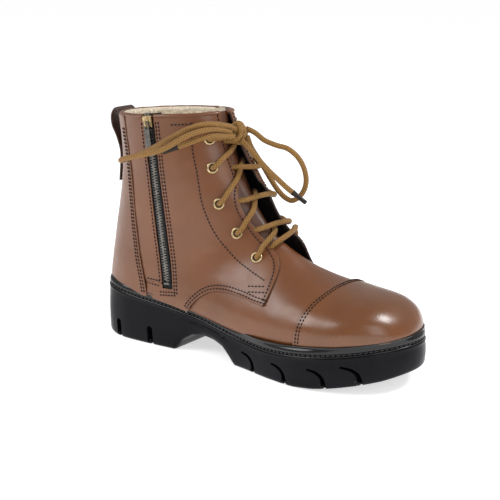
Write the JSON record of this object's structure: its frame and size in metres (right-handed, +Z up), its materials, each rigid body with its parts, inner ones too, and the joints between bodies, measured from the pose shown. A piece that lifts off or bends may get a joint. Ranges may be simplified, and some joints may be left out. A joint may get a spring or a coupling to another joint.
{
  "type": "leather safety boot",
  "caption": "Ankle-high brown leather boot with toe cap, laced front, side zip, fleece lining and thick cleated rubber sole.",
  "frame": {"origin": "on the ground under the middle of the sole's bounding box, laces not counted", "axes": "+X to the toe, +Y to the outer (lateral) side, +Z up; the inner side with the zip faces -Y"},
  "size_m": [0.305, 0.1261, 0.2059],
  "materials": {
    "brown_leather": "smooth, polished, slightly creased",
    "dark_leather": "smooth, matt",
    "sole_rubber": "moulded, satin",
    "welt_rubber": "moulded, gloss",
    "fleece": "curly pile",
    "foam": "open-cell foam",
    "fibreboard": "pressed fibre board",
    "steel": "brushed",
    "brass": "polished, a little worn",
    "gunmetal": "burnished",
    "zip_tape": "woven herringbone tape",
    "lace_cord": "round braid",
    "aglet_plastic": "gloss"
  },
  "bodies": {
    "boot": {"outsole": "sole_rubber", "welt": "welt_rubber", "steel_shank": "steel", "insole_board": "fibreboard", "footbed": "foam", "toe_cap": "brown_leather", "steel_toe_cap": "steel", "vamp": "brown_leather", "quarter_medial": "brown_leather", "rear_panel_medial": "brown_leather", "quarter_lateral": "brown_leather", "heel_panel": "brown_leather", "heel_stiffener": "fibreboard", "ankle_padding_medial_front": "foam", "ankle_padding_medial_rear": "foam", "ankle_padding_lateral": "foam", "tongue": "brown_leather", "tongue_lining": "fleece", "fleece_lining": "fleece", "collar_binding": "dark_leather", "pull_loop": "dark_leather", "zip_tape_front": "zip_tape", "zip_tape_rear": "zip_tape", "zip_teeth_front": "gunmetal", "zip_teeth_rear": "gunmetal", "zip_top_stop_front": "gunmetal", "zip_top_stop_rear": "gunmetal", "zip_bottom_stop": "gunmetal", "eyelet_medial_1": "brass", "eyelet_medial_2": "brass", "eyelet_medial_3": "brass", "eyelet_medial_4": "brass", "eyelet_medial_5": "brass", "eyelet_lateral_1": "brass", "eyelet_lateral_2": "brass", "eyelet_lateral_3": "brass", "eyelet_lateral_4": "brass", "eyelet_lateral_5": "brass", "lace_cross_1_medial": "lace_cord", "lace_cross_2_medial": "lace_cord", "lace_cross_3_medial": "lace_cord", "lace_cross_4_medial": "lace_cord", "lace_top_medial": "lace_cord", "lace_top_lateral": "lace_cord", "lace_knot": "lace_cord", "lace_loop_left": "lace_cord", "lace_loop_right": "lace_cord", "lace_end_left": "lace_cord", "lace_end_right": "lace_cord", "aglet_left": "aglet_plastic", "aglet_right": "aglet_plastic"},
    "slider": {"zip_slider": "brass"},
    "pull_tab": {"zip_pull_tab": "gunmetal"}
  },
  "joints": [
    {"name": "zip_slide", "type": "slide", "parent": "boot", "child": "slider", "axis": [0.125, 0, -0.9922], "range_m": [0, 0.13]},
    {"name": "pull_tab_swing", "type": "hinge", "parent": "slider", "child": "pull_tab", "pos_m": [-0.08449, -0.0466, 0.19686], "axis": [-0.9922, 0, -0.125], "range_deg": [0, 175]}
  ]
}
